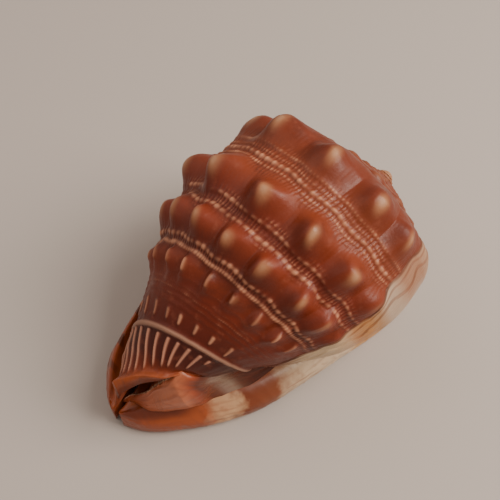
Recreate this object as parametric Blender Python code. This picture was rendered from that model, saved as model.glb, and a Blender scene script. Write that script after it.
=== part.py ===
"""Bullmouth helmet shell, lying on its ventral shield.

The shell is one solid that grew along a spiral. The whorls, the thick shield with the
outer lip, the fold beside the canal, and the hollows inside are each made as a closed
mesh, and Booleans join and cut them into one body.

Frame: +Y runs from the canal to the apex, +Z is up from the shield, and the outer lip is
on the -X side. Angles are in degrees round the coiling axis: 0 at the shield's free side
(+X), 90 on top, 180 at the outer lip. The shell grew with rising angles. Places in the
base are given from under the axis, and every mesh is moved so that the shell's box is
centred over the origin.
"""

import bmesh
import bpy
import numpy as np

MM = 0.001
CENTRE = (-8.0 * MM, -0.7 * MM)  # middle of the shell's box, measured from under the axis

# Coiling
APEX = 70 * MM  # along the axis, from the middle of the shell to the tip of the spire
AXIS_HEIGHT = 40.4 * MM  # of the axis above the base, at the middle of the shell
AXIS_TILT = np.radians(11.1)  # the apex end is the higher one
EXPANSION = 1.45  # growth of every size in one turn
LIP_ANGLE = 220  # where the last whorl ends
FIRST_ANGLE = LIP_ANGLE - 360

# The whorl's outline at 90 degrees, in mm: place along the axis, radius, and the number
# of rows of faces from the point before it
OUTLINE = (
    (53.6, 30.0, 0),
    (52.8, 37.0, 1),
    (50.2, 41.4, 1),
    (46.0, 43.6, 1),
    (43.0, 44.4, 1),
    (37.0, 45.8, 2),
    (31.0, 46.8, 2),
    (24.0, 46.9, 2),
    (18.7, 46.4, 2),
    (9.0, 44.4, 3),
    (0.3, 42.2, 3),
    (-7.0, 38.6, 2),
    (-14.3, 34.3, 2),
    (-25.0, 27.9, 3),
    (-35.0, 21.6, 2),
    (-36.4, 22.3, 1),
    (-38.0, 19.8, 1),
    (-43.5, 16.4, 1),
    (-49.0, 13.4, 2),
    (-52.5, 12.8, 1),
)
SUTURE_ROW = 3  # the row of the outline on which the next whorl sits

# Knobs, in mm: place along the axis, height, length of the steep and of the long slope,
# half width, and the angles of the knobs in the row
KNOB_ROWS = (
    (43.0, 6.9, 4.2, 6.5, 6.0, (204, 177, 150, 123, 91, 64, 43)),
    (18.7, 7.2, 4.6, 7.5, 6.0, (210, 186, 159, 126, 98, 73, 50, 27)),
    (0.3, 4.8, 4.0, 6.5, 4.8, (198, 179, 159, 139, 118, 97, 76, 55, 37, 18)),
    (-14.3, 2.8, 3.6, 5.5, 3.4, (202, 184, 166, 147, 128, 111, 93, 77, 58, 39, 24)),
)
KNOB_FADE = 16  # degrees over which the knobs die out towards the lip
GLAZE_FADE = (8, 43)  # angles between which they come out of the shield's glaze

# Earlier whorls
SPIRE_TURNS = 3
SPIRE_KNOB_STEP = 30
SPIRE_KNOB_HEIGHT = 2.6
SHOULDER_ROW = 2

# Columns of faces round the whorl
DORSAL_STEP = 5
VENTRAL_STEP = 10
VENTRAL_END = -20  # the wider columns run from the first angle to this one

# The base's edge in mm, seen from above, from the tip of the columella by the free side
# of the shield to the outer lip
EDGE = (
    (-4.5, -69.5),
    (4.5, -63.5),
    (12.0, -54.5),
    (20.0, -41.5),
    (27.0, -25.0),
    (30.3, -8.0),
    (32.5, 12.0),
    (34.8, 30.0),
    (35.5, 44.0),
    (34.0, 56.0),
    (25.0, 65.0),
    (8.0, 67.5),
    (-14.0, 65.5),
    (-34.0, 59.0),
    (-50.0, 47.0),
    (-57.5, 30.0),
    (-58.0, 12.0),
    (-53.0, -5.0),
    (-46.0, -20.0),
    (-39.5, -35.0),
    (-34.0, -48.0),
    (-28.0, -59.5),
    (-18.5, -67.5),
    (-11.0, -70.0),
)
EDGE_SAMPLES = 3
LIP_PLACES = (0.50, 0.60, 0.88, 0.97)  # shares of the edge's points at which the lip's section
# takes over from the shield's, and gives way to it again
SPINE_Y = (-58.0, 40.0)  # the rim's sections point at a line through the base, this long
SPINE_X = (-6.0, -12.0)
MOST_INSET = 0.45  # share of the way to that line

# The rim's section from its foot to its root inside the whorl: mm in from the edge, and up
SHIELD_SECTION = ((5.0, 0.0), (1.2, 1.4), (0.0, 5.0), (1.6, 10.0), (9.0, 15.0))
LIP_SECTION = ((8.0, 0.0), (1.8, 3.5), (0.0, 10.0), (3.6, 19.0), (14.0, 27.0))

# The hollow of the last whorl
WALL = 4.0
HOLLOW_ANGLES = (-100, 228)
HOLLOW_COLUMNS = 25
OUTER_FROM_TO = (43.5, -44.0)  # the hollow's outer side, along the axis
OUTER_ROWS = 9
INNER_FROM_TO = (34.0, -44.0)  # its inner side, on the whorl before
INNER_ROWS = 7
INNER_GLAZE = 2.6  # shell laid over the whorl before
COLUMELLA_RADIUS = 8.5

# The aperture's slot, with the teeth of the lip, in mm
SLOT_PATH = (
    (-18.0, 52.0),
    (-26.0, 38.0),
    (-30.0, 18.0),
    (-28.5, -4.0),
    (-22.5, -28.0),
    (-15.5, -48.0),
    (-10.0, -62.0),
    (-7.5, -78.0),
)
SLOT_SAMPLES = 10
SLOT_WIDTH = 9.0
SLOT_END_WIDTH = 4.0  # where it runs out through the canal
NARROWING = (0.7, 0.95)  # shares of the slot's length between which it gets that narrow
ROUND_END = 0.12  # share over which its apex end widens from the next value
END_WIDTH_SHARE = 0.25
SLOT_HEIGHT = 17.0
BELOW = 3.0  # cutters start this far under the base
LIP_TEETH = 22
POINTS_PER_TOOTH = 4  # two on the tooth and two in the gap beside it
LIP_TOOTH_DEPTH = 1.8
INNER_TOOTH_DEPTH = 0.9
TOOTHED_SHARE = 0.86  # of the slot, from its apex end

# The canal's bore and the fold beside it, in mm: points and radii along each
CANAL_PATH = ((-16.0, -42.0, 13.0), (-12.0, -50.0, 15.5), (-6.0, -56.0, 23.0), (-5.5, -63.0, 34.0))
CANAL_RADII = (4.5, 5.0, 5.5, 7.5)
FOLD_PATH = (
    (9.0, -31.0, 31.0),
    (10.0, -41.0, 27.0),
    (6.0, -50.0, 22.5),
    (-1.0, -57.5, 17.5),
    (-6.0, -62.0, 14.0),
    (-9.5, -65.0, 12.0),
)
FOLD_RADII = (8.0, 10.0, 9.5, 6.8, 4.2, 2.2)
TUBE_SIDES = 10
TUBE_SAMPLES = 3

SHELL_COLOUR = (0.25, 0.045, 0.018, 1.0)


def clear_scene():
    for obj in list(bpy.data.objects):
        bpy.data.objects.remove(obj, do_unlink=True)


def shell_material():
    """The glossy red-brown outside of the shell."""
    material = bpy.data.materials.new("glossy_shell")
    material.use_nodes = True
    shader = material.node_tree.nodes["Principled BSDF"]
    shader.inputs["Base Color"].default_value = SHELL_COLOUR
    shader.inputs["Roughness"].default_value = 0.35
    shader.inputs["Metallic"].default_value = 0.0
    return material


def mesh_object(name, points, faces):
    """A closed mesh of triangles as an object, with the shell's middle over the origin.

    The points are in metres from under the axis, and the faces are turned outwards.
    """
    mesh = bpy.data.meshes.new(name)
    placed = np.array(points) - (*CENTRE, 0.0)
    mesh.from_pydata(placed.tolist(), [], faces)
    work = bmesh.new()
    work.from_mesh(mesh)
    bmesh.ops.recalc_face_normals(work, faces=work.faces)
    bmesh.ops.triangulate(work, faces=work.faces)
    work.to_mesh(mesh)
    work.free()
    obj = bpy.data.objects.new(name, mesh)
    bpy.context.scene.collection.objects.link(obj)
    return obj


def join_or_cut(target, operand, operation):
    """Adds a Boolean to the target and keeps its operand out of the part."""
    operand.hide_render = True
    operand.display_type = "WIRE"
    boolean = target.modifiers.new(operand.name, "BOOLEAN")
    boolean.operation = operation
    boolean.solver = "EXACT"
    boolean.object = operand


def smooth_path(points, samples, closed=False):
    """Samples a Catmull-Rom curve through the points, the same number in each span."""
    points = np.array(points, float)
    spans = len(points) if closed else len(points) - 1
    if closed:
        wide = np.vstack((points[-1:], points, points[:2]))
    else:
        wide = np.vstack((2 * points[0] - points[1], points, 2 * points[-1] - points[-2]))
    p0, p1, p2, p3 = (wide[k : k + spans, None, :] for k in range(4))
    t = (np.arange(samples) / samples)[None, :, None]
    curve = 0.5 * (
        2 * p1
        + (p2 - p0) * t
        + (2 * p0 - 5 * p1 + 4 * p2 - p3) * t**2
        + (3 * p1 - p0 - 3 * p2 + p3) * t**3
    )
    curve = curve.reshape(-1, points.shape[1])
    return curve if closed else np.vstack((curve, points[-1]))


def tube_faces(rings, sides):
    """Faces of a closed tube whose points run ring by ring, with a flat face at either end."""
    faces = [list(range(sides)), [(rings - 1) * sides + k for k in range(sides)][::-1]]
    for ring in range(rings - 1):
        for side in range(sides):
            here, beside = ring * sides + side, ring * sides + (side + 1) % sides
            faces.append((here, beside, beside + sides, here + sides))
    return faces


def growth(angle):
    """Size of the shell at this angle, as a share of its size at 90 degrees."""
    return EXPANSION ** ((angle - 90) / 360)


def on_shell(angle, along, radius):
    """World points from an angle and from outline values at 90 degrees, in mm."""
    size = growth(angle)
    turn = np.radians(angle)
    axial = APEX - (APEX - np.asarray(along) * MM) * size
    out = np.asarray(radius) * MM * size
    across, up = out * np.cos(turn), out * np.sin(turn)
    y = axial * np.cos(AXIS_TILT) - up * np.sin(AXIS_TILT)
    z = AXIS_HEIGHT + axial * np.sin(AXIS_TILT) + up * np.cos(AXIS_TILT)
    return np.stack(np.broadcast_arrays(across, y, z), axis=-1)


def outline_rows():
    """The outline's points with its rows filled in between them."""
    rows = [OUTLINE[0][:2]]
    for (along0, radius0, _), (along1, radius1, count) in zip(OUTLINE, OUTLINE[1:]):
        for step in range(1, count + 1):
            share = step / count
            rows.append((along0 + share * (along1 - along0), radius0 + share * (radius1 - radius0)))
    return np.array(rows)


def outline_radius(along):
    """Radius of the outline without its knobs."""
    outline = np.array(OUTLINE)[::-1]
    return np.interp(along, outline[:, 0], outline[:, 1])


def knob_heights(angle, along):
    """Height of the knobs at this angle of the last whorl, for each place along the axis."""
    raised = np.zeros(len(along))
    for place, height, steep, long_slope, half_width, angles in KNOB_ROWS:
        down = place - along
        shape_down = np.exp(-((down / np.where(down > 0, long_slope, steep)) ** 2))
        for knob in angles:
            aside = np.radians(angle - knob) * outline_radius(place)
            raised = np.maximum(raised, height * shape_down * np.exp(-((aside / half_width) ** 2)))
    fade = np.clip((LIP_ANGLE - angle) / KNOB_FADE, 0, 1) * np.interp(angle, GLAZE_FADE, (0, 1))
    return raised * fade


def spire_knob_height(angle):
    """Height of the small knobs on the shoulders of the earlier whorls."""
    return SPIRE_KNOB_HEIGHT * np.cos(np.pi * angle / SPIRE_KNOB_STEP) ** 2


def one_turn():
    """Angles of the columns of faces in the last whorl, from its start to the lip."""
    ventral = np.arange(FIRST_ANGLE, VENTRAL_END, VENTRAL_STEP)
    dorsal = np.arange(VENTRAL_END, LIP_ANGLE + 1, DORSAL_STEP)
    return np.concatenate((ventral, dorsal))


def whorls():
    """All the whorls as one closed solid.

    A column is the outline at one angle. An earlier whorl shows only its rows above the
    suture, and a point on its suture row is the first point of the column a turn later.
    The last whorl has every row and one more on the axis, which closes the canal's end.
    A flat wall closes the lip's end, and a fan of faces the tip of the spire.
    """
    turn = one_turn()
    per_turn = len(turn) - 1
    earlier = [turn[:-1] - 360 * back for back in range(SPIRE_TURNS, 0, -1)]
    angles = np.concatenate((*earlier, turn))
    first, last = SPIRE_TURNS * per_turn, len(angles) - 1
    rows = outline_rows()
    along, radius = rows.T
    axis_row = len(rows)
    points, numbers = [], {}

    for column, angle in enumerate(angles):
        if column < first:
            raised = np.where(np.arange(len(rows)) == SHOULDER_ROW, spire_knob_height(angle), 0)
            placed = on_shell(angle, along, radius + raised)[:SUTURE_ROW]
        else:
            placed = on_shell(angle, along, radius + knob_heights(angle, along))
            placed = np.vstack((placed, on_shell(angle, along[-1:], 0.0)))
        for row, place in enumerate(placed):
            numbers[column, row] = len(points)
            points.append(place)

    def corner(column, row):
        if row == SUTURE_ROW and column + per_turn <= last:
            return numbers[column + per_turn, 0]
        return numbers[column, row]

    faces = []
    for column in range(last):
        for row in range(SUTURE_ROW if column < first else axis_row):
            here, below = corner(column, row), corner(column, row + 1)
            faces.append((here, corner(column + 1, row), corner(column + 1, row + 1), below))

    wall = [corner(last, row) for row in range(axis_row)]
    wall += [corner(column, axis_row) for column in range(last, first - 1, -1)]
    wall += [corner(first, row) for row in range(axis_row - 1, SUTURE_ROW, -1)]
    faces.append(wall)

    tip = len(points)
    points.append(on_shell(90, APEX / MM, 0.0))
    rim = [corner(column, 0) for column in range(per_turn + 1)]
    rim += [corner(0, row) for row in range(SUTURE_ROW - 1, 0, -1)]
    for here, beside in zip(rim, rim[1:] + rim[:1]):
        faces.append((tip, beside, here))
    return mesh_object("helmet_shell", points, faces)


def lip_share(count):
    """How far each point of the base's edge belongs to the outer lip, from 0 to 1."""
    place = np.arange(count) / count
    share = np.interp(place, LIP_PLACES, (0, 1, 1, 0))
    return share * share * (3 - 2 * share)


def shield_and_lip():
    """The thick rim on which the shell lies: its section is carried round the base's edge."""
    edge = smooth_path(EDGE, EDGE_SAMPLES, closed=True)
    lip = lip_share(len(edge))[:, None]
    spine_y = np.clip(edge[:, 1], *SPINE_Y)
    spine = np.column_stack((np.interp(spine_y, SPINE_Y, SPINE_X), spine_y))
    inwards = spine - edge
    reach = np.linalg.norm(inwards, axis=1, keepdims=True)
    rings = []
    for (shield_in, shield_up), (lip_in, lip_up) in zip(SHIELD_SECTION, LIP_SECTION):
        inset = shield_in + lip * (lip_in - shield_in)
        height = shield_up + lip * (lip_up - shield_up)
        plan = edge + inwards / reach * np.minimum(inset, MOST_INSET * reach)
        rings.append(np.column_stack((plan, height)))
    points = np.vstack(rings) * MM
    return mesh_object("shield_and_lip", points, tube_faces(len(rings), len(edge)))


def last_hollow():
    """The space in the last whorl, between its wall and the whorl before it."""
    outer_along = np.linspace(*OUTER_FROM_TO, OUTER_ROWS)
    outer = np.column_stack((outer_along, outline_radius(outer_along) - WALL))
    before = np.linspace(*INNER_FROM_TO, INNER_ROWS)
    inner_along = APEX / MM - (APEX / MM - before) / EXPANSION
    inner_radius = np.maximum(outline_radius(before) / EXPANSION + INNER_GLAZE, COLUMELLA_RADIUS)
    inner = np.column_stack((inner_along, inner_radius))
    foot = ((OUTER_FROM_TO[1], COLUMELLA_RADIUS),)
    section = np.vstack((outer, foot, inner[::-1]))
    rings = [
        on_shell(angle, section[:, 0], section[:, 1])
        for angle in np.linspace(*HOLLOW_ANGLES, HOLLOW_COLUMNS)
    ]
    return mesh_object("last_hollow", np.vstack(rings), tube_faces(len(rings), len(section)))


def aperture_slot():
    """The long narrow aperture through the base, toothed on the lip and the inner side."""
    path = smooth_path(SLOT_PATH, SLOT_SAMPLES)
    lengths = np.concatenate(([0], np.cumsum(np.linalg.norm(np.diff(path, axis=0), axis=1))))
    count = POINTS_PER_TOOTH * LIP_TEETH + 1
    share = np.linspace(0, 1, count)
    path = np.column_stack([np.interp(share * lengths[-1], lengths, side) for side in path.T])
    ahead = np.gradient(path, axis=0)
    ahead /= np.linalg.norm(ahead, axis=1, keepdims=True)
    to_lip = np.column_stack((ahead[:, 1], -ahead[:, 0]))
    opened = np.sin(np.pi / 2 * np.clip(share / ROUND_END, 0, 1))
    half = np.interp(share, NARROWING, (SLOT_WIDTH, SLOT_END_WIDTH)) / 2
    half *= END_WIDTH_SHARE + (1 - END_WIDTH_SHARE) * opened
    on_tooth = np.arange(count) % POINTS_PER_TOOTH < POINTS_PER_TOOTH / 2
    teeth = on_tooth * (share < TOOTHED_SHARE) * opened
    lip_side = path + to_lip * (half - teeth * LIP_TOOTH_DEPTH)[:, None]
    inner_side = path - to_lip * (half - teeth * INNER_TOOTH_DEPTH)[:, None]
    plan = np.vstack((lip_side, inner_side[::-1]))
    rings = [np.column_stack((plan, np.full(len(plan), z))) for z in (-BELOW, SLOT_HEIGHT)]
    return mesh_object("aperture_slot", np.vstack(rings) * MM, tube_faces(2, len(plan)))


def tube(name, path, radii):
    """A closed round tube along a curve, with its own radius at each point of the path."""
    curve = smooth_path(np.column_stack((path, radii)), TUBE_SAMPLES)
    centres, radius = curve[:, :3], curve[:, 3]
    ahead = np.gradient(centres, axis=0)
    ahead /= np.linalg.norm(ahead, axis=1, keepdims=True)
    across = np.cross(ahead, (0.0, 0.0, 1.0))
    across /= np.linalg.norm(across, axis=1, keepdims=True)
    upward = np.cross(across, ahead)
    around = 2 * np.pi * np.arange(TUBE_SIDES)[:, None] / TUBE_SIDES
    outwards = np.cos(around) * across[:, None] + np.sin(around) * upward[:, None]
    points = centres[:, None] + outwards * radius[:, None, None]
    return mesh_object(name, points.reshape(-1, 3) * MM, tube_faces(len(centres), TUBE_SIDES))


def build():
    clear_scene()
    shell = whorls()
    join_or_cut(shell, shield_and_lip(), "UNION")
    join_or_cut(shell, tube("canal_fold", FOLD_PATH, FOLD_RADII), "UNION")
    hollow = last_hollow()
    join_or_cut(hollow, aperture_slot(), "UNION")
    join_or_cut(hollow, tube("canal_bore", CANAL_PATH, CANAL_RADII), "UNION")
    join_or_cut(shell, hollow, "DIFFERENCE")
    shell.data.materials.append(shell_material())
    shell.data.shade_smooth()


build()
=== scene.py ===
import bpy
import numpy as np
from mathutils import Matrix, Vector


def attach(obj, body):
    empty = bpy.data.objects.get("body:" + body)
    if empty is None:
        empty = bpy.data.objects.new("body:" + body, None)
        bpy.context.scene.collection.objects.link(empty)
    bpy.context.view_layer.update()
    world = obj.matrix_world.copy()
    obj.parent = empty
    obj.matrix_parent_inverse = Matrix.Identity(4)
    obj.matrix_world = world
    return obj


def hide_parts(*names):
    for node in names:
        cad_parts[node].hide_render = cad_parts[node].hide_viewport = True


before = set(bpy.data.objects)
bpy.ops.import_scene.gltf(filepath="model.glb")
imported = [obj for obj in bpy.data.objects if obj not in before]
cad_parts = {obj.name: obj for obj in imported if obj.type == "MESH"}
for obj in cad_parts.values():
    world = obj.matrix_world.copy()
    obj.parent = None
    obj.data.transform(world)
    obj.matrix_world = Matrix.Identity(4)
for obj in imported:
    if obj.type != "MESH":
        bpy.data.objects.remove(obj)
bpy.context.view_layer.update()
millimetre = 0.001

# Lengths are in mm and angles in degrees, as in the part's source. An angle goes round the
# coiling axis: 0 at the shield's free side, 90 on top, 180 at the outer lip.

coil = {
    "apex": 70.0,  # place along the axis from which everything is scaled
    "axisHeight": 40.4,
    "axisTilt": 11.1,
    "expansion": 1.45,  # growth in one turn
    "firstAngle": -140.0,
    "lipAngle": 220.0,
    "middle": (-8.0, -0.7, 0.0),  # the box's middle, from under the axis
}


def smoothCurve(points, samples, closed=False):
    # Catmull-Rom curve: each span is the cubic through its two ends whose slope at an end is
    # half the step between that end's neighbours. Points run along the second-last axis.
    points = np.asarray(points, float)
    if closed:
        wide = np.concatenate((points[..., -1:, :], points, points[..., :2, :]), axis=-2)
        spans = points.shape[-2]
    else:
        before = 2 * points[..., :1, :] - points[..., 1:2, :]
        after = 2 * points[..., -1:, :] - points[..., -2:-1, :]
        wide = np.concatenate((before, points, after), axis=-2)
        spans = points.shape[-2] - 1
    p0, p1, p2, p3 = (wide[..., k : k + spans, None, :] for k in range(4))
    t = (np.arange(samples) / samples)[:, None]
    curve = 0.5 * (2 * p1 + (p2 - p0) * t + (2 * p0 - 5 * p1 + 4 * p2 - p3) * t**2
                   + (3 * p1 - p0 - 3 * p2 + p3) * t**3)
    curve = curve.reshape(*points.shape[:-2], spans * samples, points.shape[-1])
    return curve if closed else np.concatenate((curve, points[..., -1:, :]), axis=-2)


def ease(value):
    # 0 below 0 and 1 above 1, with a smooth S between: 3x^2 - 2x^3
    value = np.clip(value, 0, 1)
    return value * value * (3 - 2 * value)


def hump(distance, width):
    # bell curve: e to the minus (distance / width) squared
    return np.exp(-((distance / width) ** 2))


def wander(u, v, size, seed, waves=9):
    # smooth unevenness of about -1 to 1: the sum of sine waves that run in many directions
    # over (u, v), with lengths around size, divided by the root of their number and by 1.4
    random = np.random.default_rng(seed)
    total = 0
    for turn, stretch, phase in zip(random.uniform(0, 2 * np.pi, waves),
                                    random.uniform(0.6, 1.7, waves),
                                    random.uniform(0, 2 * np.pi, waves)):
        across = u * np.cos(turn) + v * np.sin(turn)
        total = total + np.sin(2 * np.pi * across / (size * stretch) + phase)
    return total / waves**0.5 / 1.4


def coilPoint(angle, along, radius):
    # helicospiral: place along the axis and radius are both scaled from the apex by
    # expansion^((angle - 90) / 360), turned by the angle, and the axis is tilted
    size = coil["expansion"] ** ((angle - 90) / 360)
    turn, tilt = np.radians(angle), np.radians(coil["axisTilt"])
    axial = coil["apex"] - (coil["apex"] - along) * size
    across, up = radius * size * np.cos(turn), radius * size * np.sin(turn)
    y = axial * np.cos(tilt) - up * np.sin(tilt)
    z = coil["axisHeight"] + axial * np.sin(tilt) + up * np.cos(tilt)
    return np.stack(np.broadcast_arrays(across, y, z), axis=-1) - coil["middle"]


def makeLoft(name, grid, marks):
    # closed rings carried along a path: quads join each ring to the next, and a fan of
    # triangles round the middle of its ring closes each end. grid is [ring, place, xyz].
    # The volume is the sum of the boxes spanned by each triangle's corners, and it is
    # negative where the faces point inwards, so they are then turned round.
    rings, around = grid.shape[:2]
    here = np.arange(rings * around).reshape(rings, around)
    beside = np.roll(here, -1, axis=1)
    quads = np.stack((here[:-1], beside[:-1], beside[1:], here[1:]), axis=-1).reshape(-1, 4)
    middles = grid[[0, -1]].mean(axis=1)
    first = np.stack((beside[0], here[0], np.full(around, rings * around)), axis=-1)
    last = np.stack((here[-1], beside[-1], np.full(around, rings * around + 1)), axis=-1)
    points = np.vstack((grid.reshape(-1, 3), middles)) * millimetre
    a, b, c, d = points[quads.T]
    volume = np.einsum("ij,ij->", a, np.cross(b, c)) + np.einsum("ij,ij->", a, np.cross(c, d))
    faces = quads.tolist() + first.tolist() + last.tolist()
    if volume < 0:
        faces = [face[::-1] for face in faces]
    mesh = bpy.data.meshes.new(name)
    mesh.from_pydata(points.tolist(), [], faces)
    mesh.shade_smooth()
    for mark, values in marks.items():
        values = np.broadcast_to(values, (rings, around)).reshape(-1)
        layer = mesh.attributes.new(mark, "FLOAT", "POINT")
        layer.data.foreach_set("value", np.append(values, values[[0, -1]]).astype(np.float32))
    piece = bpy.data.objects.new(name, mesh)
    bpy.context.scene.collection.objects.link(piece)
    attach(piece, "root")
    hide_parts("helmet_shell")
    print("made", name, "with", 2 * len(quads) + 2 * around, "triangles")
    return piece


# Whorl outline at 90 degrees, without its keel: place along the axis and radius

outlinePoints = [
    (56.0, 22.0), (54.6, 27.0), (53.6, 31.0), (52.6, 37.2), (50.2, 41.2), (46.0, 43.6),
    (43.0, 44.4), (37.0, 45.8), (31.0, 46.8), (24.0, 46.9), (18.7, 46.4), (9.0, 44.4),
    (0.3, 42.2), (-7.0, 38.6), (-14.3, 34.3), (-25.0, 27.9), (-35.0, 21.4), (-43.5, 16.4),
    (-49.0, 13.6), (-52.5, 12.6),
]
outlineSamples = 24  # for each span
edgeStep = 0.03  # mm between the two rows at an edge
outlineCurve = smoothCurve(outlinePoints, outlineSamples)
outlineLength = np.concatenate(([0], np.cumsum(np.hypot(*np.diff(outlineCurve, axis=0).T))))


def outlineRadius(along):
    # the outline's radius at a place along the axis
    return np.interp(along, outlineCurve[::-1, 0], outlineCurve[::-1, 1])


def outlineRows(fromAlong, toAlong, count):
    # points at even steps of length down the outline, and the outward normal at each, which
    # is the tangent turned by a quarter. The first and last two stand close together, which
    # keeps the soft shading of the edge narrow.
    start, end = np.interp((-fromAlong, -toAlong), -outlineCurve[:, 0], outlineLength)
    between = np.linspace(start + edgeStep, end - edgeStep, count - 2)
    steps = np.concatenate(([start], between, [end]))
    along, radius = (np.interp(steps, outlineLength, side) for side in outlineCurve.T)
    tangent = np.stack((np.gradient(along), np.gradient(radius)), axis=-1)
    tangent /= np.linalg.norm(tangent, axis=-1, keepdims=True)
    return along, radius, tangent[:, 1], -tangent[:, 0]


# Sculpture of the last whorl

sculpture = {
    # place, height, steep and long slope, half width towards the lip and away from it, power
    # (under 2 is pointed, over 2 is flat-topped), angles
    "knobRows": [
        (43.0, 6.3, 5.2, 8.4, 6.8, 8.4, 2.2, (204, 177, 150, 123, 92, 64, 43)),
        (18.7, 7.2, 4.9, 8.8, 5.5, 7.6, 2.1, (210, 186, 159, 126, 98.5, 73, 50.5, 27)),
        (0.3, 4.9, 4.4, 6.8, 3.4, 6.8, 2.3, (198, 179, 159, 139, 118, 98, 77, 55, 37, 18)),
        (-14.3, 2.6, 3.4, 5.0, 2.2, 4.2, 2.3,
         (202, 184, 163, 145, 127, 112, 93, 76, 58, 41, 25)),
    ],
    "lipFade": 16,  # degrees over which the knobs die out towards the lip
    "glazeFade": (8, 43),  # angles between which they come out of the glaze
    "sizeSpread": 0.13,  # share by which the knobs of a row differ in height
    "push": 3.0,  # how far a knob bends the cords beside it
    "pushReach": 8.0,
    # place, half width, height, how deeply it is cut into beads, and how many ribs make a bead
    "cords": [
        (34.4, 0.95, 0.5, 0.55, 1), (31.6, 0.75, 0.4, 0.6, 1), (29.0, 1.15, 0.8, 0.5, 2),
        (26.3, 0.85, 0.5, 0.6, 1), (24.2, 0.6, 0.3, 0.6, 1), (12.2, 0.7, 0.35, 0.6, 1),
        (10.2, 1.05, 0.7, 0.5, 2), (7.1, 0.7, 0.35, 0.6, 1), (5.0, 1.2, 0.8, 0.5, 2),
        (2.6, 0.65, 0.3, 0.5, 1), (-7.4, 1.1, 0.7, 0.5, 2), (-10.5, 1.0, 0.6, 0.35, 1),
        (-17.8, 0.5, 0.2, 0.3, 1), (-21.0, 0.6, 0.22, 0.2, 1), (-22.8, 0.65, 0.28, 0.3, 1),
        (-24.8, 0.6, 0.22, 0.2, 1), (-27.2, 0.5, 0.18, 0.2, 1),
    ],
    "ribbedBands": [(38.5, 21.0), (14.8, 1.8), (-5.0, -13.2)],
    "ribStep": 1.9,
    "ribHeight": 0.24,
    # narrow pale ridges: place, half length, height, half width, brightness, lean, angles
    "nodules": [
        (-14.6, 2.4, 0.7, 0.9, 0.75, 0.35,
         (202, 184, 163, 145, 127, 112, 93, 76, 58, 41, 25)),
        (-31.0, 2.5, 0.55, 0.85, 0.95, 0.6,
         (205, 190, 174, 158, 143, 127, 111, 97.5, 81, 65, 46.5)),
    ],
    # place at 90 degrees, its drift for each degree, half width, height
    "keel": (-35.9, -0.0143, 1.0, 1.1),
    "fan": {  # ribs before the canal: where each starts, how far it sweeps back and ends
        "angles": (48, 59.5, 73, 86, 97.5, 111, 124.5, 138, 151, 163, 175, 187, 199, 210),
        "start": -37.4,
        "sweep": ((48, 73, 97.5, 124.5, 150, 210), (2.0, 6.0, 14, 17, 19, 20)),
        "end": ((48, 60, 86, 111, 124, 150, 210), (-41.5, -46.5, -48.5, -49.5, -50.5, -51, -51)),
        "halfWidth": (0.85, 0.38),  # at the top and at the lower end
        "height": 0.75,
    },
    # where the glaze of the shield ends on the whorl: place along, angle
    "glazeEdge": (
        (-53, -40, -31, -25, -20, -15, -10, -5, 0, 5, 10, 15, 20, 30, 45, 54),
        (-25, -22, -16, -8, 0, 8, 12, 15, 17, 18.5, 18.5, 20, 25, 29, 28.5, 24),
    ),
    # degrees back from that edge, height, softness
    "glazeLedges": ((0.0, 0.5, 0.8), (4.5, 0.4, 0.9), (11.0, 0.5, 1.6)),
    # how far the canal's rim reaches beyond the outline, and how far it is drawn in, by angle
    "rim": ((30, 55, 66, 80, 100, 120, 142, 165, 190),
            (-3.6, -3.2, 0.0, 1.0, 2.2, 4.6, 5.2, 3.2, 0)),
    "rimIn": ((80, 120, 160, 200), (0, 0.12, 0.22, 0.25)),
}


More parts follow.
